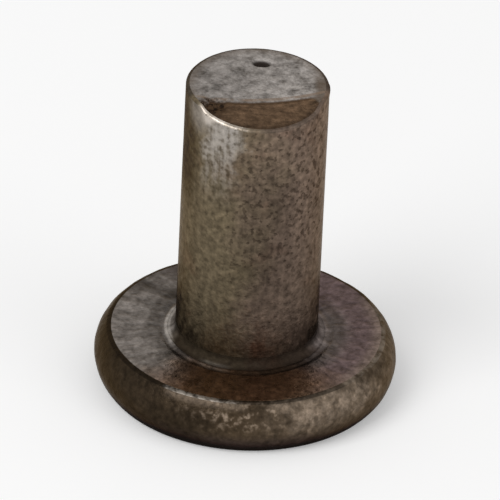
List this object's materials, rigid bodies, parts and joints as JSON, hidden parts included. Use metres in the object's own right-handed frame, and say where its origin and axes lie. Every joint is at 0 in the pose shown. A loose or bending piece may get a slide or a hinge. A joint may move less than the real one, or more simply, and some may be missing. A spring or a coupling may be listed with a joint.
{
  "type": "solid rivet",
  "caption": "Flat-head solid steel rivet with a barrel-rimmed disc head and a plain sheared shank, for a permanent riveted joint.",
  "frame": {"origin": "centre of the head's outer face, which the rivet stands on", "axes": "+Z along the shank from the head to the sheared end, -Y to the side where the sheared crescent faces the viewer, +X to the viewer's right"},
  "size_m": [0.0126, 0.0126, 0.0144],
  "materials": {
    "oxidised_steel": "brown-grey oxide over cold-headed steel, semi-gloss, with fine pits"
  },
  "bodies": {
    "root": {"rivet": "oxidised_steel"}
  },
  "joints": []
}
